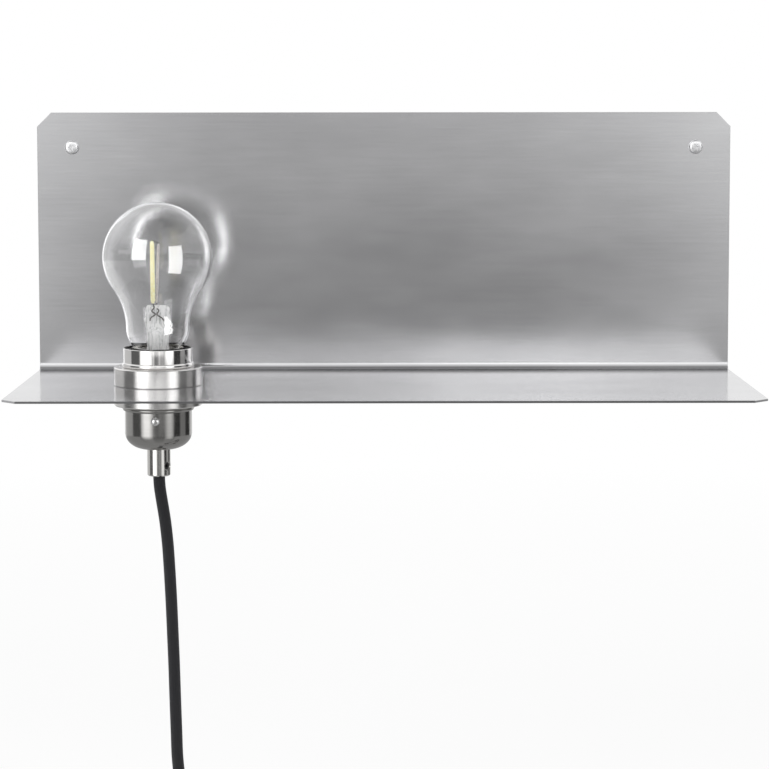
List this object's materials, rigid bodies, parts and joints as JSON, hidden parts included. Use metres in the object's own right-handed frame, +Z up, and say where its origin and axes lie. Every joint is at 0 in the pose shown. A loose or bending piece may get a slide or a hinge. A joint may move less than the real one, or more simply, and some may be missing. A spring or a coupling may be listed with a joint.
{
  "type": "wall lamp with shelf",
  "caption": "Bent sheet-metal wall shelf with a metal screw lampholder through it, clear bulb above, textile mains cord with rocker switch and plug below.",
  "frame": {"origin": "on the wall plane, midway between the two wall screws, on the plate's back face", "axes": "+X to the right along the plate, +Y into the wall, +Z up"},
  "size_m": [0.4, 0.182, 0.4242],
  "materials": {
    "steel_sheet": "fine horizontal grain",
    "screw_steel": "bright zinc",
    "ring_nickel": "turned and polished nickel",
    "cap_nickel": "spun and polished nickel",
    "black_screw": "blackened steel set screw",
    "brass": "stamped",
    "liner_plastic": "moulded",
    "porcelain": "glazed",
    "clear_glass": "clear",
    "bulb_cap_metal": "nickel-plated brass",
    "black_glass": "black glass",
    "filament_phosphor": "phosphor coat",
    "board_green": "lacquered board",
    "core_brown": "extruded",
    "core_blue": "extruded",
    "core_green": "extruded",
    "black_textile": "braided",
    "black_plastic": "moulded, fine satin",
    "black_rubber": "moulded"
  },
  "bodies": {
    "root": {"shelf_plate": "steel_sheet", "wall_screw_left": "screw_steel", "wall_screw_right": "screw_steel", "shade_ring_upper": "ring_nickel", "shade_ring_lower": "ring_nickel", "holder_shell": "ring_nickel", "holder_cap": "cap_nickel", "cap_lock_screw": "screw_steel", "cord_grip": "ring_nickel", "grip_set_screw": "black_screw", "threaded_nipple": "brass", "nipple_nut": "screw_steel", "holder_liner": "liner_plastic", "contact_sleeve": "brass", "contact_block": "porcelain", "centre_contact": "brass", "side_contact": "brass", "terminal_live": "brass", "terminal_neutral": "brass", "terminal_screws": "screw_steel", "earth_tag": "brass", "earth_screw": "screw_steel", "core_live": "core_brown", "core_neutral": "core_blue", "core_earth": "core_green", "cord_drop": "black_textile", "switch_lower_housing": "black_plastic", "switch_upper_housing": "black_plastic", "switch_contacts": "brass", "switch_cores": "core_blue", "switch_screws": "screw_steel", "switch_sleeve_in": "black_rubber", "switch_sleeve_out": "black_rubber", "cord_link": "black_textile", "cord_coil": "black_textile", "coil_tie": "black_rubber", "cord_tail": "black_textile", "plug_body": "black_rubber", "plug_pins": "bulb_cap_metal", "plug_earth_clips": "bulb_cap_metal", "plug_relief": "black_rubber"},
    "bulb_foot": {"bulb_tip_contact": "bulb_cap_metal"},
    "bulb": {"bulb_glass": "clear_glass", "bulb_cap": "bulb_cap_metal", "bulb_cap_insulator": "black_glass", "glass_stem": "clear_glass", "filament_front": "filament_phosphor", "filament_rear": "filament_phosphor", "lead_wires": "bulb_cap_metal", "driver_board": "board_green"},
    "rocker": {"switch_rocker": "black_plastic", "switch_seesaw": "brass"}
  },
  "joints": [
    {"name": "bulb_rise", "type": "slide", "parent": "root", "child": "bulb_foot", "axis": [0, 0, 1], "range_m": [0, 0.0145]},
    {"name": "bulb_turn", "type": "hinge", "parent": "bulb_foot", "child": "bulb", "pos_m": [-0.1245, -0.075, -0.1288], "axis": [0, 0, 1], "range_deg": [0, 1440]},
    {"name": "switch_tip", "type": "hinge", "parent": "root", "child": "rocker", "pos_m": [0.035, -0.049, -0.3898], "axis": [0, -1, 0], "range_deg": [0, 20]}
  ],
  "couplings": [
    {"joint": "bulb_turn", "follows": "bulb_rise", "rad_per_m": 1731.4}
  ]
}
